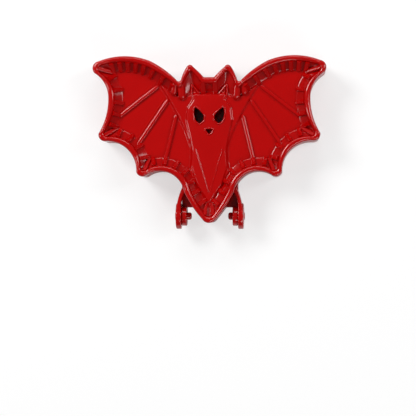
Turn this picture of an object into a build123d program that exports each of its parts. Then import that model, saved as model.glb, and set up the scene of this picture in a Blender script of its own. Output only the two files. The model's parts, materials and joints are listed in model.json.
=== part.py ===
# A hand pie mold in the shape of a bat: two moulded halves that fold together on a hinge.
# It lies closed on its back, with the face half on top and the hinge towards -Y.
import os

from build123d import *

# Heights, all measured from the mating plane of the two halves
HALF_HEIGHT = 14.0
PARTING_GAP = 0.2
PANEL_FACE = 7.0
CAVITY_DEPTH = 5.0
SHELL = 2.0
MATING_Z = HALF_HEIGHT

# Hinge: the axis runs along X, and every outline below is measured from it
DISC_RADIUS = 8.4
DISC_INNER_X = 18.4
DISC_OUTER_X = 22.3
DISC_EDGE = 0.5
ARM_INNER_X = 18.5
ARM_OUTER_X = 21.4
ARM_CLEARANCE = 0.4
LUG_RADIUS = 6.3
LUG_INNER_X = 14.8
LUG_OUTER_X = 18.3
LUG_ROOT = 9.0
PIN_RADIUS = 2.4
PIN_INNER_X = 11.9
PIN_NOSE = 1.6
RUNNING_CLEARANCE = 0.05
WEB_THICKNESS = 4.0
WEB_EDGE_Y = 5.6
RAKE_START_Y = 0.5
RAKE_END_Y = -5.0

# Right side of the outline, from between the ears to the tip at the hinge. Each entry is a
# place on the rim and the same place on the edge of the sunken panel; arcs run through
# every second one.
EDGE = [
    ((3.3, 89.1), (7.0, 80.1)),
    ((6.6, 92.6), (8.2, 81.6)),
    ((10.2, 95.9), (9.6, 82.9)),
    ((12.3, 97.1), (10.0, 83.2)),
    ((13.9, 96.2), (10.5, 82.8)),
    ((15.9, 93.0), (12.6, 79.9)),
    ((17.9, 87.6), (16.4, 77.3)),
    ((19.5, 86.5), (18.2, 77.0)),
    ((21.1, 87.7), (20.2, 77.9)),
    ((29.3, 94.6), (30.0, 83.8)),
    ((37.8, 99.7), (41.1, 91.3)),
    ((54.7, 102.9), (52.5, 93.8)),
    ((71.2, 99.7), (61.2, 93.1)),
    ((75.0, 96.0), (61.9, 92.6)),
    ((73.8, 92.0), (61.6, 91.9)),
    ((67.9, 86.3), (57.7, 85.6)),
    ((64.9, 76.6), (55.9, 77.0)),
    ((66.4, 64.2), (56.6, 67.0)),
    ((71.2, 53.1), (59.9, 57.2)),
    ((70.4, 49.8), (59.7, 56.8)),
    ((66.4, 48.2), (59.2, 56.6)),
    ((52.3, 42.7), (46.5, 49.7)),
    ((46.8, 28.4), (39.1, 37.3)),
    ((43.0, 25.4), (38.7, 36.9)),
    ((39.9, 26.6), (38.3, 36.9)),
    ((25.0, 27.4), (19.7, 34.7)),
    ((16.0, 15.7), (8.2, 20.2)),
    ((10.6, 6.2), (4.9, 15.1)),
    ((4.3, -2.0), (1.2, 10.2)),
]
TIP = ((0.0, -4.4), (0.0, 9.3))
WING_TOP = 102.9
AXIS_Y = (DISC_RADIUS - WING_TOP) / 2

# Sections through the edge: share of the way from rim to panel, and height
LIP_SHARE = 0.22
CAVITY_SHARE = 0.62
CRIMP_DEPTH = 0.7
OUTER_WALL = [(0.0, PARTING_GAP / 2), (0.0, 12.7), (0.12, HALF_HEIGHT)]
SUNKEN_FACE = [(1.0, PANEL_FACE), (0.38, 12.4), (0.24, HALF_HEIGHT), (0.24, 15.0)]
CRIMP_BAND = [(LIP_SHARE, -1.0), (LIP_SHARE, CRIMP_DEPTH)]
CAVITY = [(CAVITY_SHARE, -1.0), (CAVITY_SHARE, CRIMP_DEPTH + 0.4), (0.9, CAVITY_DEPTH)]

# Flutes on the sloped wall: how many stand on each arc of EDGE, and the odd ones at the
# notches and between the ears, each from its top to its foot
FLUTE_COUNTS = [0, 0, 0, 0, 3, 5, 0, 2, 3, 0, 4, 0, 5, 2]
ODD_FLUTES = [
    ((2.6, 86.2), (5.0, 79.3)),
    ((18.6, 84.2), (16.6, 76.2)),
    ((24.6, 87.4), (23.6, 80.0)),
]
FLUTE_WIDTH = 3.3
FLUTE_RISE = 1.3
FLUTE_SINK = 1.0
FLUTE_DRAFT = 0.4
FLUTE_TOP = (0.34, 12.6)
FLUTE_FOOT = (1.0, PANEL_FACE)
CRIMP_WIDTH = 2.4

# The bat on the face half: shoulders, and the body as places at its foot and on its crest
SHOULDER_TOP = 8.4
SHOULDERS = [
    (7.0, 79.5),
    (12.0, 79.0),
    (17.6, 76.6),
    (24.0, 80.5),
    (35.0, 88.6),
    (26.6, 75.0),
    (21.3, 65.5),
    (16.2, 55.0),
    (12.4, 44.8),
    (12.5, 35.0),
    (13.5, 28.0),
    (0.0, 4.0),
]
BODY_SIDE_TOP = 9.0
BODY_TOP = 11.0
POCKET_TOP = 7.4
BODY = [
    ((6.3, 78.9), (4.0, 74.5)),
    ((11.4, 85.6), (8.4, 76.4)),
    ((10.6, 75.2), (8.2, 73.0)),
    ((14.4, 69.6), (9.6, 68.5)),
    ((15.4, 62.0), (8.5, 60.5)),
    ((12.6, 50.0), (6.6, 49.5)),
    ((11.2, 42.0), (5.2, 41.5)),
    ((12.0, 32.0), (4.8, 32.0)),
    ((8.4, 20.5), (3.0, 22.5)),
    ((0.0, 7.5), (0.0, 14.0)),
]
EAR_RIDGES = [
    ((6.3, 78.9), (11.2, 84.8)),
    ((11.2, 84.8), (10.5, 75.0)),
    ((10.5, 75.0), (14.2, 69.8)),
]
RIDGE_WIDTH = 1.1
RIDGE_TOP = 9.8
BELLY = [(8.4, 43.2), (0.7, 16.2)]
BELLY_TOP = 10.4
EYE = [(8.9, 70.4), (5.6, 68.0), (2.9, 65.0), (3.3, 61.9), (5.7, 59.5), (8.4, 61.9), (9.5, 66.4)]
NOSE = [(2.6, 55.8), (0.0, 52.3)]
HOLE_RIM = 0.9
HOLE_RIM_TOP = 11.6
RIB_WIDTH = 2.4
RIB_TOP = 8.5
RIBS = [
    ((33.0, 83.9), (58.0, 64.6)),
    ((26.6, 75.0), (46.8, 45.3)),
    ((21.3, 65.5), (28.7, 34.9)),
]

os.makedirs("parts", exist_ok=True)


def level(height):
    """A plane over the hinge axis, at a height above the mating plane."""
    return Plane((0, AXIS_Y, MATING_Z + height))


def between(pair, share):
    """A point part of the way from the rim to the panel's edge."""
    (rim_x, rim_y), (panel_x, panel_y) = pair
    return (rim_x + (panel_x - rim_x) * share, rim_y + (panel_y - rim_y) * share)


def bat_arcs(share):
    """The arcs of the right side of the outline, at a share of the way to the panel."""
    points = [between(pair, share) for pair in EDGE]
    return list(zip(points[0::2], points[1::2], points[2::2]))


def bat_face(share):
    """The bat's closed outline as a face, at a share of the way to the panel."""
    right = bat_arcs(share)
    left = [[(-x, y) for x, y in reversed(arc)] for arc in reversed(right)]
    with BuildSketch() as sketch:
        with BuildLine():
            Line(left[-1][2], right[0][0])
            for arc in right:
                ThreePointArc(*arc)
            ThreePointArc(right[-1][2], between(TIP, share), left[0][0])
            for arc in left:
                ThreePointArc(*arc)
        make_face()
    return sketch.sketch


def bat_solid(sections):
    """A solid of ruled walls through several outlines of the bat."""
    with BuildPart() as solid:
        for share, height in sections:
            with BuildSketch(level(height)):
                add(bat_face(share))
        loft(ruled=True)
    return solid.part


def mirrored(points):
    """Points of the right side, and the same on the left, in one closed round."""
    return points + [(-x, y) for x, y in reversed(points) if x > 0]


def polygon_face(points, grow=0.0):
    """A face inside a closed polygon, grown or shrunk all round."""
    with BuildSketch() as sketch:
        with BuildLine():
            Polyline(*points, close=True)
        make_face()
        if grow:
            offset(amount=grow, kind=Kind.INTERSECTION)
    return sketch.sketch


def prism(face, bottom, top):
    """An upright solid over a face, between two heights."""
    with BuildPart() as solid:
        with BuildSketch(level(bottom)):
            add(face)
        extrude(amount=top - bottom)
    return solid.part


def bar(start, end, width, bottom, top):
    """An upright bar with round ends between two points."""
    run = Vector(*end) - Vector(*start)
    middle = (Vector(*start) + Vector(*end)) / 2
    with BuildSketch() as sketch:
        with Locations((middle.X, middle.Y)):
            SlotCenterToCenter(run.length, width, rotation=Vector(1, 0).get_signed_angle(run))
    return prism(sketch.sketch, bottom, top)


def both_sides(solid):
    """A solid and its mirror image across the bat's centre line."""
    return [solid, solid.mirror(Plane.YZ)]


def along_the_edge(top_share, foot_share):
    """Pairs of points across the edge, spread evenly along the arcs that carry flutes."""
    pairs = []
    for top_arc, foot_arc, count in zip(bat_arcs(top_share), bat_arcs(foot_share), FLUTE_COUNTS):
        top_edge = Edge.make_three_point_arc(*top_arc)
        foot_edge = Edge.make_three_point_arc(*foot_arc)
        for number in range(count):
            along = (number + 0.5) / count
            pairs.append((top_edge.position_at(along), foot_edge.position_at(along)))
    return pairs


def flute(top, foot):
    """A block with drafted sides that lies on the sloped wall."""
    start = Vector(top[0], top[1] + AXIS_Y, MATING_Z + FLUTE_TOP[1])
    end = Vector(foot[0], foot[1] + AXIS_Y, MATING_Z + FLUTE_FOOT[1])
    down_wall = (end - start).normalized()
    half = FLUTE_WIDTH / 2
    with BuildPart() as block:
        with BuildSketch(Plane(start, x_dir=Vector(0, 0, 1).cross(down_wall), z_dir=down_wall)):
            with BuildLine():
                Polyline(
                    (-half, -FLUTE_SINK),
                    (half, -FLUTE_SINK),
                    (half - FLUTE_DRAFT, FLUTE_RISE),
                    (FLUTE_DRAFT - half, FLUTE_RISE),
                    close=True,
                )
            make_face()
        extrude(amount=(end - start).length)
    return block.part


def flutes():
    """All the flutes of one half."""
    blocks = []
    for top, foot in along_the_edge(FLUTE_TOP[0], FLUTE_FOOT[0]):
        blocks += both_sides(flute((top.X, top.Y), (foot.X, foot.Y)))
    for top, foot in ODD_FLUTES:
        blocks += both_sides(flute(top, foot))
    return blocks


def crimps():
    """The low bars across the land that crimp the dough, one behind each flute."""
    bars = []
    for lip, cavity in along_the_edge(LIP_SHARE / 2, CAVITY_SHARE + 0.1):
        run = cavity - lip
        with BuildSketch() as sketch:
            with Locations((lip + cavity) / 2):
                Rectangle(run.length, CRIMP_WIDTH, rotation=Vector(1, 0).get_signed_angle(run))
        bars += both_sides(prism(sketch.sketch, PARTING_GAP / 2, CRIMP_DEPTH + 0.2))
    return bars


def across(inner_x, outer_x, radius, edge=0.0):
    """A round bar along the hinge axis between two distances from the centre line."""
    with BuildPart() as solid:
        with BuildSketch(Plane((inner_x, AXIS_Y, MATING_Z), z_dir=(1, 0, 0))):
            Circle(radius)
        extrude(amount=outer_x - inner_x)
        if edge:
            chamfer(solid.edges().filter_by(GeomType.CIRCLE), edge)
    return solid.part


# What both halves share: the rim, the sloped fluted wall, the panel, the land with its
# cutting lip and crimps, and the cavity
with BuildPart() as shell:
    add(bat_solid(OUTER_WALL))
    add(bat_solid(SUNKEN_FACE), mode=Mode.SUBTRACT)
    add(flutes())
    add(bat_solid(CRIMP_BAND), mode=Mode.SUBTRACT)
    add(crimps())
    add(bat_solid(CAVITY), mode=Mode.SUBTRACT)
    with BuildSketch(Plane((0, AXIS_Y, MATING_Z), x_dir=(0, 1, 0), z_dir=(1, 0, 0))):
        with BuildLine():
            Polyline(
                (RAKE_START_Y, -1),
                (RAKE_START_Y, 0),
                (RAKE_END_Y, HALF_HEIGHT + 1),
                (-DISC_RADIUS, HALF_HEIGHT + 1),
                (-DISC_RADIUS, -1),
                close=True,
            )
        make_face()
    extrude(amount=PIN_INNER_X, both=True, mode=Mode.SUBTRACT)

# The bat's body: upright sides, then facets up to its crest
BODY_FOOT = mirrored([foot for foot, crest in BODY])
BODY_CREST = mirrored([crest for foot, crest in BODY])
with BuildPart() as bat_body:
    for points, height in (
        (BODY_FOOT, CAVITY_DEPTH),
        (BODY_FOOT, BODY_SIDE_TOP),
        (BODY_CREST, BODY_TOP),
    ):
        with BuildSketch(level(height)):
            add(polygon_face(points))
    loft(ruled=True)

# Face half: shoulders, ribs, body, eyes and nose, and the two outer hinge arms
with BuildPart() as upper_half:
    add(shell.part)
    add(prism(polygon_face(mirrored(SHOULDERS)), CAVITY_DEPTH + 1, SHOULDER_TOP))
    add(bat_body.part)
    for start, end in RIBS:
        add(both_sides(bar(start, end, RIB_WIDTH, CAVITY_DEPTH + 1, RIB_TOP)))
    for start, end in EAR_RIDGES:
        add(both_sides(bar(start, end, RIDGE_WIDTH, CAVITY_DEPTH + 1, RIDGE_TOP)))
    add(prism(polygon_face(mirrored(BELLY)), BELLY_TOP, HALF_HEIGHT), mode=Mode.SUBTRACT)
    add(both_sides(prism(polygon_face(EYE, HOLE_RIM), CAVITY_DEPTH, HOLE_RIM_TOP)))
    add(prism(polygon_face(mirrored(NOSE), HOLE_RIM), CAVITY_DEPTH, HOLE_RIM_TOP))
    add(
        prism(polygon_face(BODY_FOOT, -SHELL), CAVITY_DEPTH - 1, POCKET_TOP),
        mode=Mode.SUBTRACT,
    )
    add(both_sides(prism(polygon_face(EYE), 0, HALF_HEIGHT)), mode=Mode.SUBTRACT)
    add(prism(polygon_face(mirrored(NOSE)), 0, HALF_HEIGHT), mode=Mode.SUBTRACT)
    with BuildSketch(level(ARM_CLEARANCE)):
        with BuildLine():
            Polyline((14.5, 17.0), (17.4, 18.8))
            ThreePointArc((17.4, 18.8), (20.6, 9.6), (ARM_OUTER_X, 0))
            Polyline((ARM_OUTER_X, 0), (ARM_INNER_X, 0), (ARM_INNER_X, 7.0))
            ThreePointArc((ARM_INNER_X, 7.0), (17.6, 12.0), (14.5, 17.0))
        make_face()
        mirror(about=Plane.YZ)
    extrude(amount=DISC_RADIUS - ARM_CLEARANCE)
    add(both_sides(across(DISC_INNER_X, DISC_OUTER_X, DISC_RADIUS, DISC_EDGE)))
    add(both_sides(across(DISC_INNER_X, DISC_OUTER_X, PIN_RADIUS)), mode=Mode.SUBTRACT)
upper_half.part.label = "upper_half"

# Back half: a plain panel, and a web that carries the two inner hinge lugs
with BuildPart() as lower_half:
    add(shell.part.mirror(Plane.XY.offset(MATING_Z)))
    with BuildSketch(level(-ARM_CLEARANCE)):
        with BuildLine():
            Polyline(
                (8.5, WEB_EDGE_Y),
                (LUG_OUTER_X, WEB_EDGE_Y),
                (LUG_OUTER_X, 21.0),
                (15.5, 19.0),
                (9.5, 8.5),
                close=True,
            )
        make_face()
        mirror(about=Plane.YZ)
    extrude(amount=-WEB_THICKNESS)
    with BuildSketch(level(-LUG_RADIUS)):
        with Locations(
            ((LUG_INNER_X + LUG_OUTER_X) / 2, LUG_ROOT / 2),
            (-(LUG_INNER_X + LUG_OUTER_X) / 2, LUG_ROOT / 2),
        ):
            Rectangle(LUG_OUTER_X - LUG_INNER_X, LUG_ROOT)
    extrude(amount=LUG_RADIUS - ARM_CLEARANCE)
    add(both_sides(across(LUG_INNER_X, LUG_OUTER_X, LUG_RADIUS, DISC_EDGE)))
    add(
        both_sides(across(LUG_INNER_X, LUG_OUTER_X, PIN_RADIUS + RUNNING_CLEARANCE)),
        mode=Mode.SUBTRACT,
    )
lower_half.part.label = "lower_half"

# Hinge pins: pressed into the outer discs, with a rounded nose inside the lugs
with BuildPart() as hinge_pin_right:
    add(across(PIN_INNER_X, DISC_OUTER_X, PIN_RADIUS))
    fillet(hinge_pin_right.edges().sort_by(Axis.X)[0], PIN_NOSE)
hinge_pin_right.part.label = "hinge_pin_right"

with BuildPart() as hinge_pin_left:
    add(hinge_pin_right.part.mirror(Plane.YZ))
hinge_pin_left.part.label = "hinge_pin_left"

for piece in (upper_half, lower_half, hinge_pin_right, hinge_pin_left):
    export_step(piece.part, f"parts/{piece.part.label}.step")
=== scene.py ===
import json
import logging
import math
from dataclasses import dataclass
from enum import Enum

import bmesh
import bpy
import numpy as np
from bpy.types import ID, Material, Mesh, Node, NodeTree, Object, World
from mathutils import Matrix, Vector
from mathutils.geometry import delaunay_2d_cdt


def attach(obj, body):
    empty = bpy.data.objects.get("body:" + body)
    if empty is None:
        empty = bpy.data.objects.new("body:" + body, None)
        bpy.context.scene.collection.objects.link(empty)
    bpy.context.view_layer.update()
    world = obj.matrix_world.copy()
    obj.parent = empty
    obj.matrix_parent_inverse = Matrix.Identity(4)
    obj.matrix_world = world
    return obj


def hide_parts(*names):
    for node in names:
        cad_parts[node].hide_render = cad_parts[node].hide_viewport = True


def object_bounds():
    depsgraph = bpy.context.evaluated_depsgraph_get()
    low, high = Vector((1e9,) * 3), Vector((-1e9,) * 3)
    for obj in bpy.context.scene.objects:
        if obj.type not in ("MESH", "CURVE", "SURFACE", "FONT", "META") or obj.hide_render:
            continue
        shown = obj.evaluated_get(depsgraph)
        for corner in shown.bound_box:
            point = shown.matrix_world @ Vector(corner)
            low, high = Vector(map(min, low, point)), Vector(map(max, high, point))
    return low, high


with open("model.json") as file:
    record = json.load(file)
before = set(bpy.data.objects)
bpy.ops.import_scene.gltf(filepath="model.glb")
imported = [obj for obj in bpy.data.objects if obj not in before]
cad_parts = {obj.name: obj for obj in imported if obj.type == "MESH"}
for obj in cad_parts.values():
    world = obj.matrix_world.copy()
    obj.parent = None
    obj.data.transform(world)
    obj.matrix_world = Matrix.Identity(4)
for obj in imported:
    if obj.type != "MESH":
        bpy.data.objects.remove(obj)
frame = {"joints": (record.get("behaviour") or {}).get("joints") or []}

LOG = logging.getLogger("pie_mold")
MM = 0.001
CAD_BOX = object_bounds()
HINGE = frame["joints"][0]
HINGE_Y = HINGE["pos_m"][1] / MM
MATING_Z = HINGE["pos_m"][2] / MM
# Heights are over the mating plane, in millimetres
HALF_HEIGHT = (CAD_BOX[1].z - CAD_BOX[0].z) / 2 / MM
PANEL = 7.0
SHARP_ANGLE = math.radians(38)
WELD = 2e-7
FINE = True

Array = np.ndarray
Point = tuple[float, float]
Pair = tuple[Point, Point]
Triple = tuple[float, float, float]
Faces = list[tuple[int, ...]]


class Side(Enum):
    """Which way a half stands from the mating plane, its body, and its pieces' first word."""

    FACE = (1, "upper", "face")
    BACK = (-1, "lower", "back")


# Right side of the bat, in millimetres from the hinge axis: places on the rim, and the
# same places on the edge of the sunken panel. Arcs run through every second one.
EDGE: list[Pair] = [
    ((3.3, 89.1), (7.0, 80.1)),
    ((6.6, 92.6), (8.2, 81.6)),
    ((10.2, 95.9), (9.6, 82.9)),
    ((12.3, 97.1), (10.0, 83.2)),
    ((13.9, 96.2), (10.5, 82.8)),
    ((15.9, 93.0), (12.6, 79.9)),
    ((17.9, 87.6), (16.4, 77.3)),
    ((19.5, 86.5), (18.2, 77.0)),
    ((21.1, 87.7), (20.2, 77.9)),
    ((29.3, 94.6), (30.0, 83.8)),
    ((37.8, 99.7), (41.1, 91.3)),
    ((54.7, 102.9), (52.5, 93.8)),
    ((71.2, 99.7), (61.2, 93.1)),
    ((75.0, 96.0), (61.9, 92.6)),
    ((73.8, 92.0), (61.6, 91.9)),
    ((67.9, 86.3), (57.7, 85.6)),
    ((64.9, 76.6), (55.9, 77.0)),
    ((66.4, 64.2), (56.6, 67.0)),
    ((71.2, 53.1), (59.9, 57.2)),
    ((70.4, 49.8), (59.7, 56.8)),
    ((66.4, 48.2), (59.2, 56.6)),
    ((52.3, 42.7), (46.5, 49.7)),
    ((46.8, 28.4), (39.1, 37.3)),
    ((43.0, 25.4), (38.7, 36.9)),
    ((39.9, 26.6), (38.3, 36.9)),
    ((25.0, 27.4), (19.7, 34.7)),
    ((16.0, 15.7), (8.2, 20.2)),
    ((10.6, 6.2), (4.9, 15.1)),
    ((4.3, -2.0), (1.2, 10.2)),
]
TIP: Pair = ((0.0, -4.4), (0.0, 9.3))
RIGHT_ARCS = list(zip(EDGE[0::2], EDGE[1::2], EDGE[2::2]))
# How many flutes stand along each arc, and the places that have a flute in a corner
FLUTE_COUNTS = [0, 0, 0, 0, 3, 5, 0, 2, 3, 0, 4, 0, 5, 2]
CORNERS = [13, 19, 23]


def linear(code: str) -> tuple[float, float, float, float]:
    """Turn an sRGB hex colour into linear values.

    Args:
        code: six hex digits.

    Returns:
        Red, green, blue and alpha, from 0 to 1.
    """
    parts = [int(code[place : place + 2], 16) / 255 for place in (0, 2, 4)]
    light = [c / 12.92 if c <= 0.04045 else ((c + 0.055) / 1.055) ** 2.4 for c in parts]
    return (*light, 1.0)


def add_node(tree: NodeTree, kind: str, values: dict, links: dict) -> Node:
    """Add one node with its settings and links.

    Args:
        tree: the tree that it goes in.
        kind: the node's type name.
        values: properties by name, and input values by socket name or number.
        links: by input socket name or number, the output sockets to join, or nodes whose
            first output is joined.

    Returns:
        The new node.
    """
    node = tree.nodes.new(kind)
    for name, value in values.items():
        if isinstance(name, str) and hasattr(node, name):
            setattr(node, name, value)
        else:
            node.inputs[name].default_value = value
    for name, source in links.items():
        output = source.outputs[0] if isinstance(source, Node) else source
        tree.links.new(output, node.inputs[name])
    return node


def empty_tree(owner: Material | World) -> NodeTree:
    """Give a material or a world an empty node tree."""
    owner.use_nodes = True
    owner.node_tree.nodes.clear()
    return owner.node_tree


def linked(name: str, data: ID) -> Object:
    """Put a new object with some data into the scene, at the origin."""
    made = bpy.data.objects.new(name, data)
    bpy.context.scene.collection.objects.link(made)
    return made


@dataclass(frozen=True)
class MouldedPlastic:
    """Glossy injection-moulded plastic: one deep colour, a polished skin with faint waves."""

    name: str
    colour: str
    roughness: float = 0.13
    dullest: float = 1.3
    glossiest: float = 0.8
    ior: float = 1.49
    tone_change: float = 0.05
    wave_mm: float = 9.0
    wave_height_mm: float = 0.05
    wave_strength: float = 0.05
    grain_mm: float = 0.8

    def noise(self, tree: NodeTree, size_mm: float, detail: float) -> Node:
        """Add a noise with spots of one size over the object's own coordinates."""
        place = add_node(tree, "ShaderNodeTexCoord", {}, {}).outputs["Object"]
        values = {"Scale": 1 / (size_mm * MM), "Detail": detail}
        return add_node(tree, "ShaderNodeTexNoise", values, {"Vector": place})

    def material(self) -> Material:
        """Build the material's nodes."""
        made = bpy.data.materials.new(self.name)
        tree = empty_tree(made)
        # A polished mould leaves slow waves, and the melt a faint grain, in the skin
        waves = self.noise(tree, self.wave_mm, 1.0)
        grain = self.noise(tree, self.grain_mm, 2.0)
        gloss_range = {"To Min": self.roughness * self.glossiest, "To Max": self.roughness * self.dullest}
        rough = add_node(tree, "ShaderNodeMapRange", gloss_range, {"Value": grain})
        tone_range = {"To Min": 1 - self.tone_change, "To Max": 1 + self.tone_change}
        shade = add_node(tree, "ShaderNodeMapRange", tone_range, {"Value": waves})
        colour = {"Color": linear(self.colour)}
        tone = add_node(tree, "ShaderNodeHueSaturation", colour, {"Value": shade})
        relief = {"Strength": self.wave_strength, "Distance": self.wave_height_mm * MM}
        skin = add_node(tree, "ShaderNodeBump", relief, {"Height": waves})
        looks = {"Base Color": tone, "Roughness": rough, "Normal": skin}
        shader = add_node(tree, "ShaderNodeBsdfPrincipled", {"IOR": self.ior}, looks)
        add_node(tree, "ShaderNodeOutputMaterial", {}, {"Surface": shader})
        return made


def arc_points(start: Point, middle: Point, end: Point, fractions: Array) -> Array:
    """Find points on the arc through three points.

    Args:
        start: where the arc starts.
        middle: a point that it passes through.
        end: where it ends.
        fractions: how far along each point lies, from 0 to 1.

    Returns:
        One row of x and y for each fraction.
    """
    straight = 1e-6
    first, second, third = complex(*start), complex(*middle), complex(*end)
    ratio = (third - first) / (second - first)
    if abs(ratio.imag) < straight:
        track = first + (third - first) * fractions
        return np.stack([track.real, track.imag], axis=1)
    centre = first - (first - second) * (ratio - abs(ratio) ** 2) / (2j * ratio.imag)
    spoke = first - centre
    swing = np.angle((third - centre) / spoke) % (2 * np.pi)
    if ratio.imag < 0:
        swing -= 2 * np.pi
    track = centre + spoke * np.exp(1j * swing * fractions)
    return np.stack([track.real, track.imag], axis=1)


def along_arc(arc: tuple[Pair, ...], fractions: Array) -> tuple[Array, Array]:
    """Sample an arc's rim and panel points alike, at fractions from 0 to 1."""
    rim, panel = (arc_points(*[pair[which] for pair in arc], fractions) for which in (0, 1))
    return rim, panel


def segment_distance(places: Array, start: Array, end: Array) -> Array:
    """Measure how far places are from the straight line between two points."""
    share = np.clip((places - start) @ (end - start) / ((end - start) @ (end - start)), 0, 1)
    return np.linalg.norm(places - start - share[:, None] * (end - start), axis=1)


def polygon_depth(places: Array, polygon: Array) -> Array:
    """Measure how deep places lie inside a polygon.

    Args:
        places: x and y of each place.
        polygon: the polygon's corners, in order.

    Returns:
        The distance of each place from the nearest side, negative outside.
    """
    nearest = np.full(len(places), np.inf)
    inside = np.zeros(len(places), bool)
    for start, end in zip(polygon, np.roll(polygon, -1, axis=0)):
        nearest = np.minimum(nearest, segment_distance(places, start, end))
        crosses = (start[1] > places[:, 1]) != (end[1] > places[:, 1])
        rise = end[1] - start[1] if end[1] != start[1] else 1.0
        left_of = places[:, 0] < start[0] + (places[:, 1] - start[1]) / rise * (end[0] - start[0])
        inside ^= crosses & left_of
    return np.where(inside, nearest, -nearest)


def mirrored_depth(places: Array, right_side: tuple[Point, ...]) -> Array:
    """Measure how deep places lie inside an outline, given by the points of its right side."""
    folded = np.stack([np.abs(places[:, 0]), places[:, 1]], axis=1)
    return polygon_depth(folded, both_sides(right_side))


def smooth_step(value: Array, low: float, high: float) -> Array:
    """Rise smoothly from 0 at low to 1 at high."""
    share = np.clip((value - low) / (high - low), 0, 1)
    return share * share * (3 - 2 * share)


def smooth_max(first: Array, second: Array, radius: float) -> Array:
    """Take the higher of two heights, with a fillet where they meet."""
    blend = np.maximum(radius - np.abs(first - second), 0) / radius
    return np.maximum(first, second) + blend * blend * radius / 4


def both_sides(points: tuple[Point, ...]) -> Array:
    """Close a polygon from the points of its right side."""
    return np.array([*points, *((-x, y) for x, y in reversed(points) if x > 0)])


def rounded(outline: Array) -> Array:
    """Cut each corner of a closed outline three times, so that it reads as a curve."""
    for share in (0.16, 0.25, 0.25):
        after = np.roll(outline, -1, axis=0)
        near, far = outline * (1 - share) + after * share, outline * share + after * (1 - share)
        outline = np.stack([near, far], axis=1).reshape(-1, 2)
    return outline


def between_points(start: Point, end: Point, count: int) -> Array:
    """Space points evenly on a straight line, with both its ends."""
    share = np.linspace(0, 1, count)[:, None]
    return np.asarray(start, float) * (1 - share) + np.asarray(end, float) * share


def outward(outline: Array) -> Array:
    """Find the direction out of a closed outline at each of its points."""
    along = np.roll(outline, -1, axis=0) - np.roll(outline, 1, axis=0)
    side = np.stack([along[:, 1], -along[:, 0]], axis=1) / np.linalg.norm(along, axis=1)[:, None]
    after = np.roll(outline, -1, axis=0)
    area = (outline[:, 0] * after[:, 1] - after[:, 0] * outline[:, 1]).sum()
    return side * np.sign(area)


def reach(start: Array, way: Array, outline: Array) -> float:
    """Find how far a ray runs before it meets a closed outline.

    Args:
        start: where the ray starts.
        way: its direction, of length 1.
        outline: the outline's corners, in order.

    Returns:
        The distance, or infinity.
    """
    parallel = 1e-12
    run = np.roll(outline, -1, axis=0) - outline
    gap = outline - start
    turn = way[0] * run[:, 1] - way[1] * run[:, 0]
    turn = np.where(np.abs(turn) < parallel, parallel, turn)
    ahead = (gap[:, 0] * run[:, 1] - gap[:, 1] * run[:, 0]) / turn
    along = (gap[:, 0] * way[1] - gap[:, 1] * way[0]) / turn
    met = ahead[(along >= 0) & (along <= 1) & (ahead > 0)]
    return float(met.min()) if len(met) else math.inf


def band(low: int, high: int, count: int) -> Faces:
    """Join two closed rings of as many corners, which start at two numbers, with faces."""
    after = [*range(1, count), 0]
    return [(low + this, low + that, high + that, high + this) for this, that in enumerate(after)]


def moved(faces: Faces, start: int) -> Faces:
    """Number faces from another first corner."""
    return [tuple(corner + start for corner in face) for face in faces]


def triangles(loop: Array, holes: list[Array], spacing: float) -> tuple[Array, Faces]:
    """Fill a closed loop with even triangles.

    Args:
        loop: the outer boundary.
        holes: closed outlines that stay empty.
        spacing: the distance between the points inside.

    Returns:
        The points and the triangles' corner numbers.
    """
    loop_gap, hole_gap, same_point = spacing * 0.55, spacing * 0.45, 1e-7
    low, high = loop.min(axis=0), loop.max(axis=0)
    rows = np.arange(low[1], high[1], spacing * math.sqrt(3) / 2)
    columns = np.arange(low[0], high[0], spacing)
    grid_x, grid_y = np.meshgrid(columns, rows)
    grid_x = grid_x + (np.arange(len(rows)) % 2)[:, None] * spacing / 2
    grid = np.stack([grid_x.ravel(), grid_y.ravel()], axis=1)
    keep = polygon_depth(grid, loop) > loop_gap
    for hole in holes:
        keep &= polygon_depth(grid, hole) < -hole_gap
    points, edges = [], []
    for ring in (loop, *holes):
        first, last = len(points), len(points) + len(ring)
        edges += [(place, place + 1 if place + 1 < last else first) for place in range(first, last)]
        points += [*ring]
    points = [Vector(point) for point in (*points, *grid[keep])]
    found, _, faces, *_ = delaunay_2d_cdt(points, edges, [], 1, same_point)
    found = np.array([tuple(point) for point in found])
    middles = np.array([found[list(face)].mean(axis=0) for face in faces])
    solid = polygon_depth(middles, loop) > 0
    for hole in holes:
        solid &= polygon_depth(middles, hole) < 0
    return found, [face for face, kept in zip(faces, solid) if kept]


def new_piece(name: str, points: Array, faces: Faces, finish: Material) -> Object:
    """Make a smooth-shaded piece from points in millimetres.

    Args:
        name: the piece's name.
        points: x, y and z of each corner in the frame.
        faces: the corner numbers of each face.
        finish: its material.

    Returns:
        The object, at the origin, with its faces pointing outwards.
    """
    mesh = bpy.data.meshes.new(name)
    mesh.from_pydata((np.asarray(points) * MM).tolist(), [], faces)
    work = bmesh.new()
    work.from_mesh(mesh)
    bmesh.ops.remove_doubles(work, verts=work.verts, dist=WELD)
    bmesh.ops.dissolve_degenerate(work, edges=work.edges, dist=WELD)
    bmesh.ops.recalc_face_normals(work, faces=work.faces)
    work.to_mesh(mesh)
    work.free()
    mesh.shade_smooth()
    mesh.set_sharp_from_angle(angle=SHARP_ANGLE)
    mesh.materials.append(finish)
    return linked(name, mesh)


def applied(piece: Object) -> None:
    """Turn a piece's modifiers into plain mesh, with its sharp edges marked."""
    graph = bpy.context.evaluated_depsgraph_get()
    mesh = bpy.data.meshes.new_from_object(piece.evaluated_get(graph))
    piece.modifiers.clear()
    piece.data = mesh
    mesh.set_sharp_from_angle(angle=SHARP_ANGLE)


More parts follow.
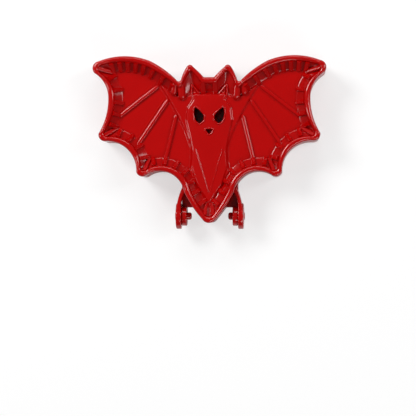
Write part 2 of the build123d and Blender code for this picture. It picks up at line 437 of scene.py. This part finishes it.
def settle(piece: Object, side: Side, *nodes: str) -> None:
    """Let a piece ride on its half's body, in place of the named nodes."""
    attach(piece, side.value[1])
    if nodes:
        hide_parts(*nodes)
    LOG.info("%s: %d faces on %s", piece.name, len(piece.data.polygons), side.value[1])


def outline_arcs() -> list[tuple[Pair, ...]]:
    """List every arc all the way round, each as three pairs of rim and panel points."""
    left = []
    for arc in reversed(RIGHT_ARCS):
        left.append(tuple(tuple((-x, y) for x, y in pair) for pair in reversed(arc)))
    top_middle = ((0.0, EDGE[0][0][1]), (0.0, EDGE[0][1][1]))
    top = (left[-1][2], top_middle, EDGE[0])
    return [top, *RIGHT_ARCS, (EDGE[-1], TIP, left[0][0]), *left]


def outline_tracks(spacing: float) -> tuple[Array, Array]:
    """Sample the bat's closed rim and its panel's edge alike.

    Args:
        spacing: about how far apart the rim's points are.

    Returns:
        Two arrays of as many points, in the same order.
    """
    rim, panel = [], []
    for arc in outline_arcs():
        coarse, _ = along_arc(arc, np.linspace(0, 1, 9))
        length = np.linalg.norm(np.diff(coarse, axis=0), axis=1).sum()
        count = max(4, round(length / spacing))
        outer, inner = along_arc(arc, np.arange(count) / count)
        rim.append(outer)
        panel.append(inner)
    return np.concatenate(rim), np.concatenate(panel)


@dataclass(frozen=True)
class Bar:
    """A bar that runs along a path on the face, with rounded upper edges.

    Its ends are rounded in plan where it is blunt, and it meets itself where it is closed.
    """

    half: float
    soft: float
    bottom: float
    blunt: bool = False
    closed: bool = False

    def half_widths(self, path: Array) -> Array:
        """Find half the bar's width at each point of its path."""
        if not self.blunt:
            return np.full(len(path), self.half)
        from_end = np.minimum(*(np.linalg.norm(path - path[place], axis=1) for place in (0, -1)))
        least = 0.04
        return self.half * np.sqrt(np.clip(1 - np.clip(1 - from_end / self.half, 0, 1) ** 2, least, 1))

    def section(self, half: float, top: float) -> list[Point]:
        """Draw the bar's section, as places across it and heights.

        Args:
            half: half its width there.
            top: the height of its upper face there.

        Returns:
            The section's corners, from one foot over the top to the other.
        """
        edge = min(self.soft, half)
        corners = [(-half, self.bottom)]
        for turn in np.linspace(0, math.pi / 2, 5):
            corners.append((edge - half - edge * math.cos(turn), top - edge + edge * math.sin(turn)))
        return corners + [(-out, height) for out, height in reversed(corners)]

    def swept(self, path: Array, tops: float | Array) -> tuple[Array, Faces]:
        """Run the section along a path.

        Args:
            path: x and y of each point along it.
            tops: the height of the upper face, one for all or one for each point.

        Returns:
            The bar's points, above the mating plane, and its faces.
        """
        count = len(path)
        if self.closed:
            along = np.roll(path, -1, axis=0) - np.roll(path, 1, axis=0)
        else:
            along = np.gradient(path, axis=0)
        across = np.stack([-along[:, 1], along[:, 0]], axis=1) / np.linalg.norm(along, axis=1)[:, None]
        tops = np.broadcast_to(np.asarray(tops, float), (count,))
        points = []
        for place, side, half, top in zip(path, across, self.half_widths(path), tops):
            points += [(*(place + side * out), height) for out, height in self.section(half, top)]
        ring = len(points) // count
        faces = []
        for place in range(count if self.closed else count - 1):
            faces += band(place * ring, (place + 1) % count * ring, ring)
        if not self.closed:
            faces += [tuple(range(ring)), tuple(range((count - 1) * ring, count * ring))]
        return np.array(points), faces


def joined(name: str, parts: list, finish: Material) -> Object:
    """Make one piece of several bars that stand on the face half.

    Args:
        name: the piece's name.
        parts: the points and faces of each bar.
        finish: the piece's material.

    Returns:
        The piece, not yet riding on a body.
    """
    points, faces, start = [], [], 0
    for corners, patches in parts:
        points.append(corners + (0, HINGE_Y, MATING_Z))
        faces += moved(patches, start)
        start += len(corners)
    return new_piece(name, np.concatenate(points), faces, finish)


@dataclass(frozen=True)
class FaceRelief:
    """What stands on the face half's panel: shoulders, the bat's body, ribs, lines and holes.

    Each blend gives the depths inside an outline between which the face rises.
    """

    shoulder_rise: float = 1.4
    shoulder_blend: Point = (-0.5, 1.6)
    step_rise: float = 0.9
    step_blend: Point = (-0.1, 1.0)
    step_foot: float = -0.2
    dome_rise: float = 1.1
    dome_reach: float = 12.0
    lapel_drop: float = 0.45
    lapel_blend: Point = (-0.3, 0.9)
    lapel_fade: Point = (-8.0, 6.0)
    wall_fillet: float = 0.5
    pocket_top: float = 7.4
    shell: float = 2.0
    pocket_blend: float = 0.6
    rib_rise: float = 1.75
    rib_bar: Bar = Bar(1.25, 0.85, PANEL - 0.8, blunt=True)
    knob_top: float = HALF_HEIGHT - 1.0
    knob_foot: float = PANEL + 3.6
    knob_round: float = 1.4
    knob_soft: float = 0.85
    knob_bottom: float = PANEL - 1.0
    least_edge: float = PANEL + 2.2
    hole_offset: float = 0.44
    hole_edge_rise: float = 0.55
    hole_bar: Bar = Bar(0.55, 0.55, PANEL + 0.8, closed=True)
    bar_points: int = 24
    edge_points: int = 12
    shoulders: tuple[Point, ...] = (
        (7.0, 79.5), (12.0, 79.0), (17.6, 76.6), (24.0, 80.5), (35.0, 88.6), (26.6, 75.0),
        (21.3, 65.5), (16.2, 55.0), (12.4, 44.8), (12.5, 35.0), (13.5, 28.0), (0.0, 4.0),
    )
    body: tuple[Point, ...] = (
        (6.3, 78.9), (11.4, 85.6), (10.6, 75.2), (14.4, 69.6), (15.4, 62.0),
        (12.6, 50.0), (11.2, 42.0), (12.0, 32.0), (8.4, 20.5), (0.0, 7.5),
    )
    ribs: tuple[Pair, ...] = (
        ((33.0, 83.9), (58.6, 64.1)),
        ((26.6, 75.0), (47.0, 45.0)),
        ((21.3, 65.5), (28.8, 34.6)),
    )
    ear_edge: tuple[Point, ...] = ((6.2, 78.8), (11.3, 84.9), (11.4, 79.0), (10.5, 75.0), (14.3, 69.7))
    ear_edge_rise: float = 0.55
    ear_edge_bar: Bar = Bar(0.6, 0.6, PANEL)
    lapel: Pair = ((8.6, 43.2), (0.7, 15.6))
    lapel_rise: float = 0.34
    lapel_bar: Bar = Bar(0.5, 0.5, PANEL)
    eye: tuple[Point, ...] = (
        (9.3, 70.5), (6.0, 68.0), (3.2, 64.8), (3.4, 61.6), (6.2, 59.2), (9.0, 61.6), (10.0, 66.2),
    )
    nose: tuple[Point, ...] = ((2.9, 56.0), (0.0, 52.2))
    knobs: tuple[tuple[Point, Point, float], ...] = (
        ((18.3, 85.4), (17.2, 74.4), 2.5),
        ((22.0, 85.8), (23.2, 77.4), 2.0),
    )

    def holes(self) -> list[Array]:
        """Outline the two eyes and the nose, with their corners a little rounded."""
        eye = np.array(self.eye)
        return [rounded(outline) for outline in (eye, eye * (-1, 1), both_sides(self.nose))]

    def height(self, places: Array, wall: Array) -> Array:
        """Find the outer face's height above the mating plane.

        Args:
            places: x and y of each point.
            wall: how high the sloped wall or the bare panel is there.

        Returns:
            One height for each place.
        """
        shoulder_depth = mirrored_depth(places, self.shoulders)
        level = PANEL + self.shoulder_rise * smooth_step(shoulder_depth, *self.shoulder_blend)
        body_depth = mirrored_depth(places, self.body)
        share = np.clip(body_depth / self.dome_reach, 0, 1)
        step = self.step_rise * smooth_step(body_depth, *self.step_blend)
        dome = level + step + self.dome_rise * (1 - (1 - share) ** 2)
        level = np.where(body_depth > self.step_foot, dome, level)
        (top_x, top_y), (foot_x, foot_y) = self.lapel
        lean = (top_x - foot_x) / (top_y - foot_y)
        edge_x = foot_x + (places[:, 1] - foot_y) * lean
        inside = (edge_x - np.abs(places[:, 0])) / math.hypot(1, lean)
        fade = 1 - smooth_step(places[:, 1], top_y + self.lapel_fade[0], top_y + self.lapel_fade[1])
        level = level - self.lapel_drop * smooth_step(inside, *self.lapel_blend) * fade
        return smooth_max(level, wall, self.wall_fillet)

    def hollow(self, places: Array, cavity: float) -> Array:
        """Raise the cavity's roof behind the bat's body, so that the wall stays thin."""
        low, high = self.shell - self.pocket_blend, self.shell + self.pocket_blend
        rise = smooth_step(mirrored_depth(places, self.body), low, high)
        return cavity + (self.pocket_top - cavity) * rise

    def bare_height(self, path: Array) -> Array:
        """Find the outer face's height along a path that keeps clear of the wall."""
        return self.height(path, np.full(len(path), PANEL))

    def bars(self, finish: Material) -> Object:
        """Make the wings' ribs and the two rounded columns at each notch."""
        made = []
        for flip in ((1.0, 1.0), (-1.0, 1.0)):
            for start, end in self.ribs:
                path = between_points(start, end, self.bar_points) * flip
                made.append(self.rib_bar.swept(path, PANEL + self.rib_rise))
            for start, end, half in self.knobs:
                path = between_points(start, end, self.bar_points) * flip
                near_foot = np.clip(1 - np.linalg.norm(path - path[-1], axis=1) / half, 0, 1)
                tops = np.linspace(self.knob_top, self.knob_foot, len(path)) - self.knob_round * near_foot**2
                made.append(Bar(half, half * self.knob_soft, self.knob_bottom, True).swept(path, tops))
        return joined("face_ribs", made, finish)

    def edges(self, finish: Material) -> Object:
        """Make the raised edges of ears, belly, eyes and nose."""
        made = []
        ear = (self.ear_edge, self.ear_edge_rise, self.ear_edge_bar)
        lapel = (self.lapel, self.lapel_rise, self.lapel_bar)
        for flip in ((1.0, 1.0), (-1.0, 1.0)):
            for track, rise, bar in (ear, lapel):
                runs = [between_points(a, b, self.edge_points)[:-1] for a, b in zip(track, track[1:])]
                path = np.concatenate([*runs, [track[-1]]])
                tops = np.maximum(self.bare_height(path) + rise, self.least_edge)
                made.append(bar.swept(path * flip, tops))
        for outline in self.holes():
            path = outline + outward(outline) * self.hole_offset
            made.append(self.hole_bar.swept(path, self.bare_height(path) + self.hole_edge_rise))
        return joined("face_edges", made, finish)


@dataclass
class MoldHalf:
    """One moulded half: rim, sloped wall, sunken panel, crimping land and cavity.

    A row is a share of the way from the rim to the panel, some millimetres more, and a
    height over the mating plane.
    """

    side: Side
    finish: Material
    land: float = 0.1
    crimp_depth: float = 0.7
    cavity: float = 5.0
    bead_width: float = 4.1
    bead_centre: float = 12.3
    bead_turns: int = 15
    step_width: float = 0.3
    step_drop: float = 1.5
    slope_foot: float = 0.97
    foot_rise: float = 0.12
    rake_start: float = 0.5
    rake_end: float = -5.0
    outline_spacing: float = 0.7 if FINE else 1.8
    slope_rows: int = 12 if FINE else 5
    fill_spacing: float = 2.5
    roof_spacing: float = 2.5

    def inside(self) -> list[Triple]:
        """List the inner side's rows, from the cavity over the crimping band to the lip."""
        return [
            (0.9, 0.0, self.cavity),
            (0.875, 0.0, self.cavity - 0.3),
            (0.645, 0.0, self.crimp_depth + 0.45),
            (0.625, 0.0, self.crimp_depth + 0.15),
            (0.6, 0.0, self.crimp_depth),
            (0.26, 0.0, self.crimp_depth),
            (0.24, 0.0, self.crimp_depth - 0.12),
            (0.225, 0.0, self.land + 0.1),
            (0.21, 0.0, self.land),
            (0.0, 0.2, self.land),
        ]

    def rim(self) -> list[Triple]:
        """List the rows up the outside and over the rim's rounded bead."""
        half = self.bead_width / 2
        rise = HALF_HEIGHT - self.bead_centre
        rows = [(0.0, 0.0, height) for height in (0.3, 4.0, 8.0, self.bead_centre)]
        for turn in np.linspace(0, np.pi, self.bead_turns)[1:-1]:
            rows.append((0.0, half - half * math.cos(turn), self.bead_centre + rise * math.sin(turn)))
        return rows

    def slope(self) -> list[Triple]:
        """List the rows down the sloped wall to the panel."""
        under_bead = (0.0, self.bead_width + 0.05, self.bead_centre - 0.2)
        top = np.array((0.0, self.bead_width + self.step_width, self.bead_centre - self.step_drop))
        foot = np.array((self.slope_foot, 0.0, PANEL + self.foot_rise))
        shares = np.linspace(0, 1, self.slope_rows)
        wall = [tuple(top * (1 - share) + foot * share) for share in shares]
        return [under_bead, *wall, (1.0, 0.0, PANEL)]

    def rake(self, height: float) -> float:
        """Find how far towards the hinge the front may reach, so that the halves open."""
        return self.rake_start + (self.rake_end - self.rake_start) * height / HALF_HEIGHT

    def relief(self, places: Array, wall: Array) -> Array:
        """Find the height of the outer face: the bare wall and panel."""
        return wall

    def roof(self, places: Array) -> Array:
        """Find the height of the cavity's floor or roof."""
        return np.full(len(places), self.cavity)

    def holes(self) -> list[Array]:
        """List the outlines cut right through the panel."""
        return []

    def lifted(self, places: Array, heights: Array) -> Array:
        """Turn places and heights into points in the frame, still in millimetres."""
        return np.column_stack([places + (0, HINGE_Y), MATING_Z + self.side.value[0] * heights])

    def build(self) -> Object:
        """Make the half's closed mesh.

        Returns:
            The piece, not yet riding on a body.
        """
        rim, panel = outline_tracks(self.outline_spacing)
        run = panel - rim
        run_length = np.linalg.norm(run, axis=1)[:, None]
        count = len(rim)
        chunks, faces = [], []
        rows = [*self.inside(), *self.rim(), *self.slope()]
        bare = len(self.inside()) + len(self.rim())
        for place, (share, more, height) in enumerate(rows):
            places = rim + run * (share + more / run_length)
            places[:, 1] = np.maximum(places[:, 1], self.rake(height))
            heights = np.full(count, height)
            if place >= bare:
                heights = self.relief(places, heights)
            chunks.append(self.lifted(places, heights))
        for row in range(len(rows) - 1):
            faces += band(row * count, (row + 1) * count, count)
        start = len(rows) * count
        for share, spacing, outer in ((rows[0][0], self.roof_spacing, False), (1.0, self.fill_spacing, True)):
            points, fill = triangles(rim + run * share, self.holes(), spacing)
            heights = self.relief(points, np.full(len(points), PANEL)) if outer else self.roof(points)
            chunks.append(self.lifted(points, heights))
            faces += moved(fill, start)
            start += len(points)
        for hole in self.holes():
            tops = self.relief(hole, np.full(len(hole), PANEL))
            chunks += [self.lifted(hole, self.roof(hole)), self.lifted(hole, tops)]
            faces += band(start, start + len(hole), len(hole))
            start += 2 * len(hole)
        name = f"{self.side.value[2]}_shell"
        return new_piece(name, np.concatenate(chunks), faces, self.finish)


@dataclass
class FaceHalf(MoldHalf):
    """The half with the bat's body, eyes and wing ribs."""

    face: FaceRelief = FaceRelief()
    fill_spacing: float = 0.42 if FINE else 0.9
    roof_spacing: float = 0.8 if FINE else 1.6

    def relief(self, places: Array, wall: Array) -> Array:
        """Find the height of the outer face, with what stands on it."""
        return self.face.height(places, wall)

    def roof(self, places: Array) -> Array:
        """Find the height of the cavity's roof, hollow behind the bat's body."""
        return self.face.hollow(places, self.cavity)

    def holes(self) -> list[Array]:
        """List the outlines of the eyes and the nose."""
        return self.face.holes()


@dataclass(frozen=True)
class Block:
    """One block's two ends, and how many times the others' width it has."""

    top: Triple
    foot: Triple
    wide: float = 1.0

    def mirrored(self) -> "Block":
        """Make the same block on the other side of the bat."""
        top, foot = ((-point[0], *point[1:]) for point in (self.top, self.foot))
        return Block(top, foot, self.wide)


@dataclass
class BlockRow:
    """Alike round-edged blocks that stand all round a half."""

    side: Side
    finish: Material
    word: str = "flutes"
    width: float = 2.9
    depth: float = 2.6
    soft: float = 0.75

    def right_side(self) -> list[Block]:
        """List the blocks on the right side."""
        return []

    def tree(self) -> NodeTree:
        """Make the node tree that sets one round-edged block on each point."""
        tree = bpy.data.node_groups.new("round_edged_blocks", "GeometryNodeTree")
        kinds = {"Geometry": "Geometry", "Finish": "Material"}
        for name in ("Geometry", "Width", "Depth", "Edge Radius", "Finish"):
            kind = f"NodeSocket{kinds.get(name, 'Float')}"
            tree.interface.new_socket(name, in_out="INPUT", socket_type=kind)
        tree.interface.new_socket("Geometry", in_out="OUTPUT", socket_type="NodeSocketGeometry")
        given = add_node(tree, "NodeGroupInput", {}, {}).outputs
        ends = {"Start": (0, 0, -0.5), "End": (0, 0, 0.5)}
        spine = add_node(tree, "GeometryNodeCurvePrimitiveLine", ends, {})
        sides = {"Width": given["Width"], "Height": given["Depth"]}
        section = add_node(tree, "GeometryNodeCurvePrimitiveQuadrilateral", {}, sides)
        fillet = {"Curve": section, "Radius": given["Edge Radius"]}
        soft = add_node(tree, "GeometryNodeFilletCurve", {"mode": "POLY", "Count": 4}, fillet)
        curves = {"Curve": spine, "Profile Curve": soft}
        block = add_node(tree, "GeometryNodeCurveToMesh", {"Fill Caps": True}, curves)
        turn, stretch = (
            add_node(tree, "GeometryNodeInputNamedAttribute", {"data_type": "FLOAT_VECTOR", "Name": name}, {})
            for name in ("turn", "stretch")
        )
        places = {"Points": given["Geometry"], "Instance": block, "Rotation": turn, "Scale": stretch}
        placed = add_node(tree, "GeometryNodeInstanceOnPoints", {}, places)
        real = add_node(tree, "GeometryNodeRealizeInstances", {}, {"Geometry": placed})
        smooth = add_node(tree, "GeometryNodeSetShadeSmooth", {}, {"Geometry": real})
        finish = {"Geometry": smooth, "Material": given["Finish"]}
        dressed = add_node(tree, "GeometryNodeSetMaterial", {}, finish)
        add_node(tree, "NodeGroupOutput", {}, {"Geometry": dressed})
        return tree

    def seeds(self, name: str) -> Mesh:
        """Make one point for each block, with its turn and its stretch.

        Args:
            name: the mesh's name.

        Returns:
            A mesh of loose points.
        """
        way = self.side.value[0]
        right = self.right_side()
        centres, turns, stretches = [], [], []
        for block in [*right, *(block.mirrored() for block in right)]:
            high, low = (
                Vector((x, y + HINGE_Y, MATING_Z + way * height)) for x, y, height in (block.top, block.foot)
            )
            along = (high - low).normalized()
            across = Vector((0, 0, way)).cross(along).normalized()
            turns.append(Matrix((across, along.cross(across), along)).transposed().to_euler())
            centres.append((high + low) / 2 * MM)
            stretches.append((block.wide, 1.0, (high - low).length * MM))
        mesh = bpy.data.meshes.new(name)
        mesh.from_pydata(centres, [], [])
        for label, values in (("turn", turns), ("stretch", stretches)):
            layer = mesh.attributes.new(label, "FLOAT_VECTOR", "POINT")
            layer.data.foreach_set("vector", np.array([tuple(value) for value in values], float).ravel())
        return mesh

    def build(self) -> Object:
        """Make all the blocks as one mesh.

        Returns:
            The piece, not yet riding on a body.
        """
        name = f"{self.side.value[2]}_{self.word}"
        piece = linked(name, self.seeds(name))
        maker = piece.modifiers.new("blocks", "NODES")
        maker.node_group = self.tree()
        sizes = {"Width": self.width, "Depth": self.depth, "Edge Radius": self.soft}
        settings = {name: size * MM for name, size in sizes.items()} | {"Finish": self.finish}
        for socket in maker.node_group.interface.items_tree:
            if socket.name in settings and socket.in_out == "INPUT":
                maker[socket.identifier] = settings[socket.name]
        applied(piece)
        return piece


@dataclass
class FluteRow(BlockRow):
    """The upright flutes on a half's sloped wall, square to the wall's middle line."""

    spacing: float = 0.8
    look_ahead: float = 0.01
    rim_gap: float = 3.7
    top: float = 12.3
    foot: float = 6.9
    middle_share: float = 0.6
    back_limit: float = 9.0
    front_limit: float = 6.0
    corner_width: float = 0.9
    ear_flute: tuple[Point, Point, float] = ((3.9, 86.3), (3.95, 79.6), 1.2)
    tip_flute: tuple[Point, Point, float] = ((2.7, 0.3), (2.0, 8.7), 0.9)

    def middle_line(self, arc: tuple[Pair, ...], fractions: Array) -> tuple[Array, ...]:
        """Find points on the wall's middle line, and beside them on the rim and the panel."""
        outer, inner = along_arc(arc, fractions)
        return outer * (1 - self.middle_share) + inner * self.middle_share, outer, inner

    def right_side(self) -> list[Block]:
        """List the flutes along the arcs, in the corners, beside the ears and at the tip."""
        rim, panel = outline_tracks(self.spacing)
        blocks = []
        for arc, count in zip(RIGHT_ARCS, FLUTE_COUNTS):
            fractions = (np.arange(count) + 0.5) / max(count, 1)
            nexts, *_ = self.middle_line(arc, fractions + self.look_ahead)
            for middle, outer, inner, after in zip(*self.middle_line(arc, fractions), nexts):
                along = (after - middle) / np.linalg.norm(after - middle)
                way = np.array([-along[1], along[0]])
                way = way if way @ (inner - outer) > 0 else -way
                back = min(reach(middle, -way, rim), self.back_limit) - self.rim_gap
                front = min(reach(middle, way, panel), self.front_limit)
                start, end = middle - way * back, middle + way * front
                blocks.append(Block((*start, self.top), (*end, self.foot)))
        for corner in CORNERS:
            outer, inner = (np.array(point) for point in EDGE[corner])
            start = outer + (inner - outer) * self.rim_gap / np.linalg.norm(inner - outer)
            blocks.append(Block((*start, self.top), (*inner, self.foot), self.corner_width))
        for start, end, wide in (self.ear_flute, self.tip_flute):
            blocks.append(Block((*start, self.top), (*end, self.foot), wide))
        return blocks


@dataclass
class CrimpRow(BlockRow):
    """The crimping bars across a half's land, from one share of the wall's width to another."""

    word: str = "crimps"
    width: float = 2.4
    depth: float = 1.6
    soft: float = 0.5
    lip: float = 0.19
    cavity: float = 0.63
    height: float = 0.9

    def right_side(self) -> list[Block]:
        """List the bars, one behind each flute of the arcs."""
        blocks = []
        for arc, count in zip(RIGHT_ARCS, FLUTE_COUNTS):
            for outer, inner in zip(*along_arc(arc, (np.arange(count) + 0.5) / max(count, 1))):
                start, end = (outer + (inner - outer) * share for share in (self.lip, self.cavity))
                blocks.append(Block((*start, self.height), (*end, self.height)))
        return blocks


@dataclass
class Hinge:
    """The arms, lugs and pins that join the halves, with softly rounded edges.

    Each plan is the right side's, in millimetres from the hinge axis.
    """

    finish: Material
    disc_radius: float = 8.4
    disc: Point = (18.4, 22.3)
    dome: float = 0.5
    arm_outer: tuple[Point, Point, Point] = ((17.4, 18.8), (20.6, 9.6), (21.4, 0.0))
    arm_inner: tuple[Point, Point, Point] = ((18.5, 7.0), (17.6, 12.0), (14.5, 17.0))
    arm_foot: Point = (18.5, 0.0)
    arm_top: float = 7.8
    lug_radius: float = 6.3
    lug: Point = (14.8, 18.3)
    lug_root: float = 9.0
    root_drop: float = 0.1
    pin_radius: float = 2.4
    pin_nose: float = 11.9
    pin_end: float = 0.3
    clearance: float = 0.4
    edge_round: float = 0.6
    bevel: float = 0.48
    bevel_angle: float = math.radians(40)
    web_thickness: float = 4.0
    web: tuple[Point, ...] = ((8.5, 5.6), (18.3, 5.6), (18.3, 21.0), (15.5, 19.0), (9.5, 8.5))
    turns: int = 64 if FINE else 32

    def lathe(self, name: str, profile: list[Point], way: int) -> Object:
        """Turn a profile about the hinge axis.

        Args:
            name: the piece's name.
            profile: distance from the centre line, and radius, of each ring.
            way: 1 for the right side, -1 for the left.

        Returns:
            A closed round piece.
        """
        points, faces = [], []
        for out, radius in profile:
            for angle in np.arange(self.turns) * 2 * math.pi / self.turns:
                y, z = HINGE_Y + radius * math.cos(angle), MATING_Z + radius * math.sin(angle)
                points.append((way * out, y, z))
        last = (len(profile) - 1) * self.turns
        for start in range(0, last, self.turns):
            faces += band(start, start + self.turns, self.turns)
        faces += [tuple(range(self.turns)), tuple(range(last, last + self.turns))]
        return new_piece(name, np.array(points), faces, self.finish)

    def rounded_disc(self, inner: float, outer: float, radius: float) -> list[Point]:
        """Draw the profile of a round bar with rounded edges at both ends.

        Args:
            inner: where it starts, from the centre line.
            outer: where it ends.
            radius: its radius.

        Returns:
            The distance and radius of each ring.
        """
        soft = self.edge_round
        turns = np.linspace(0, np.pi / 2, 5)
        start = [(inner + soft - soft * math.cos(t), radius - soft + soft * math.sin(t)) for t in turns]
        end = [(outer - soft + soft * math.sin(t), radius - soft + soft * math.cos(t)) for t in turns]
        return start + end

    def domed_disc(self) -> list[Point]:
        """Draw the outer disc's profile, whose outer face is slightly domed."""
        edge = self.disc[1] - self.dome
        profile = self.rounded_disc(self.disc[0], edge, self.disc_radius)[:-1]
        for share in np.linspace(0.92, 0.2, 7):
            profile.append((self.disc[1] - self.dome * share**2, self.disc_radius * share))
        return profile

    def pin_profile(self) -> list[Point]:
        """Draw a pin's profile, with a rounded nose on the inside."""
        return [
            (self.pin_nose, self.pin_radius - 1.0),
            (self.pin_nose + 0.3, self.pin_radius - 0.4),
            (self.pin_nose + 1.0, self.pin_radius),
            (self.disc[1] + 0.1, self.pin_radius),
            (self.disc[1] + self.pin_end, self.pin_radius - 0.3),
        ]

    def plate(self, name: str, plan: list[Point], low: float, high: float, way: int) -> Object:
        """Raise a plate over a plan, with bevelled edges.

        Args:
            name: the piece's name.
            plan: its outline, on the right side.
            low: its lower face, from the mating plane.
            high: its upper face.
            way: 1 for the right side, -1 for the left.

        Returns:
            A closed piece.
        """
        count = len(plan)
        points = [(way * x, y + HINGE_Y, MATING_Z + height) for height in (low, high) for x, y in plan]
        faces = [tuple(range(count)), tuple(range(count, 2 * count)), *band(0, count, count)]
        piece = new_piece(name, np.array(points), faces, self.finish)
        bevel = piece.modifiers.new("edges", "BEVEL")
        bevel.width = self.bevel * MM
        bevel.segments = 3
        bevel.limit_method = "ANGLE"
        bevel.angle_limit = self.bevel_angle
        applied(piece)
        return piece

    def arm_plan(self) -> list[Point]:
        """Draw the plan of the curved arm that carries an outer disc."""
        outer = arc_points(*self.arm_outer, np.linspace(0, 1, 13))
        inner = arc_points(*self.arm_inner, np.linspace(0, 1, 9))
        return [*(tuple(point) for point in outer), self.arm_foot, *(tuple(point) for point in inner)]

    def root_plan(self) -> list[Point]:
        """Draw the plan of the block that joins an inner lug to the web."""
        near, far = self.lug
        return [(near, 0.0), (far, 0.0), (far, self.lug_root), (near, self.lug_root)]

    def build(self) -> None:
        """Make both sides of the hinge and let each piece ride on its body."""
        gap = self.clearance
        root_top = -gap - self.root_drop
        for way, word in ((1, "right"), (-1, "left")):
            settle(self.lathe(f"outer_disc_{word}", self.domed_disc(), way), Side.FACE)
            arm = self.plate(f"hinge_arm_{word}", self.arm_plan(), gap, self.arm_top, way)
            settle(arm, Side.FACE)
            lug = self.rounded_disc(*self.lug, self.lug_radius)
            settle(self.lathe(f"inner_lug_{word}", lug, way), Side.BACK)
            root = self.plate(f"lug_root_{word}", self.root_plan(), -self.lug_radius, root_top, way)
            settle(root, Side.BACK)
            web = self.plate(f"web_{word}", list(self.web), -gap - self.web_thickness, -gap, way)
            settle(web, Side.BACK)
            pin = self.lathe(f"pin_{word}", self.pin_profile(), way)
            settle(pin, Side.FACE, f"hinge_pin_{word}")


@dataclass(frozen=True)
class SoftBox:
    """An area lamp that points at the object: its place and size in metres, its power in watts."""

    name: str
    place: Triple
    size: Point
    watts: float

    def hang(self) -> None:
        """Put the lamp in the scene."""
        data = bpy.data.lights.new(self.name, "AREA")
        data.shape = "RECTANGLE"
        data.size, data.size_y = self.size
        data.energy = self.watts
        lamp = linked(self.name, data)
        lamp.location = self.place
        lamp.rotation_euler = (-Vector(self.place)).to_track_quat("-Z", "Y").to_euler()


@dataclass(frozen=True)
class Studio:
    """The table top, the lamps and the camera."""

    photo_pixels: int = 416
    distance: float = 0.9
    sensor_mm: float = 36.0
    centre_line_px: float = 208.7
    hinge_px: float = 216.2
    mm_per_pixel: float = 0.6394
    yaw_deg: float = 3.5
    far_clip: float = 20.0
    table_half: float = 3.0
    table_z: float = -0.0002
    table_paint: float = 0.95
    table_glow: float = 0.6
    world_light: float = 0.12
    world_seen: float = 1.0
    lamps: tuple[SoftBox, ...] = (
        SoftBox("key", (-0.65, 0.5, 0.85), (0.4, 0.4), 8.5),
        SoftBox("right_strip", (0.85, 0.3, 0.75), (0.25, 0.9), 4.2),
        SoftBox("front_strip", (0.45, -0.75, 0.75), (0.9, 0.2), 3.8),
        SoftBox("back_strip", (0.0, 0.9, 0.75), (1.0, 0.2), 3.8),
        SoftBox("left_strip", (-0.95, -0.15, 0.8), (0.15, 0.8), 2.2),
    )

    def camera(self) -> None:
        """Place the camera over the picture's centre, looking down from a little to the right."""
        middle = self.photo_pixels / 2
        x = (middle - self.centre_line_px) * self.mm_per_pixel
        y = (self.hinge_px - middle) * self.mm_per_pixel + HINGE_Y
        data = bpy.data.cameras.new("camera")
        data.sensor_width = self.sensor_mm
        data.lens = self.sensor_mm * self.distance / (self.photo_pixels * self.mm_per_pixel * MM)
        data.clip_end = self.far_clip
        camera = linked("camera", data)
        yaw = math.radians(self.yaw_deg)
        aside, above = self.distance * math.sin(yaw), self.distance * math.cos(yaw)
        camera.location = (x * MM + aside, y * MM, CAD_BOX[1].z + above)
        camera.rotation_euler = (0, yaw, 0)
        bpy.context.scene.camera = camera

    def table_finish(self) -> Material:
        """Make a white that keeps a soft shadow and glows a little to the camera alone."""
        finish = bpy.data.materials.new("white_table")
        tree = empty_tree(finish)
        white = (self.table_paint, self.table_paint, self.table_paint, 1)
        paint = add_node(tree, "ShaderNodeBsdfDiffuse", {"Color": white}, {})
        glow = add_node(tree, "ShaderNodeEmission", {"Color": (1, 1, 1, 1), "Strength": 1.0}, {})
        seen = add_node(tree, "ShaderNodeLightPath", {}, {}).outputs["Is Camera Ray"]
        share = add_node(tree, "ShaderNodeMath", {"operation": "MULTIPLY", 1: self.table_glow}, {0: seen})
        mixed = add_node(tree, "ShaderNodeMixShader", {}, {0: share, 1: paint, 2: glow})
        add_node(tree, "ShaderNodeOutputMaterial", {}, {"Surface": mixed})
        return finish

    def floor(self) -> None:
        """Lay a white table top under the object."""
        mesh = bpy.data.meshes.new("table_top")
        turns = ((-1, -1), (1, -1), (1, 1), (-1, 1))
        corners = [(x * self.table_half, y * self.table_half, self.table_z) for x, y in turns]
        mesh.from_pydata(corners, [], [(0, 1, 2, 3)])
        top = linked("table_top", mesh)
        mesh.materials.append(self.table_finish())

    def light(self) -> None:
        """Hang a soft key at the upper left and strips all round, under a faint white sky."""
        for lamp in self.lamps:
            lamp.hang()
        world = bpy.data.worlds.new("studio")
        tree = empty_tree(world)
        seen = add_node(tree, "ShaderNodeLightPath", {}, {}).outputs["Is Camera Ray"]
        light_range = {"To Min": self.world_light, "To Max": self.world_seen}
        strength = add_node(tree, "ShaderNodeMapRange", light_range, {"Value": seen})
        sky = add_node(tree, "ShaderNodeBackground", {}, {"Strength": strength})
        add_node(tree, "ShaderNodeOutputWorld", {}, {"Surface": sky})
        bpy.context.scene.world = world
        bpy.context.scene.view_settings.view_transform = "Standard"


def main() -> None:
    """Build the mold and the studio round it."""
    logging.basicConfig(level=logging.INFO, format="%(message)s")
    studio = Studio()
    studio.camera()
    studio.floor()
    studio.light()
    red = MouldedPlastic("red_moulded_plastic", "AA0202").material()
    settle(FaceHalf(Side.FACE, red).build(), Side.FACE, "upper_half")
    face = FaceRelief()
    settle(face.bars(red), Side.FACE)
    settle(face.edges(red), Side.FACE)
    settle(MoldHalf(Side.BACK, red).build(), Side.BACK, "lower_half")
    for side in Side:
        settle(FluteRow(side, red).build(), side)
        settle(CrimpRow(side, red).build(), side)
    Hinge(red).build()


if __name__ == "__main__":
    main()
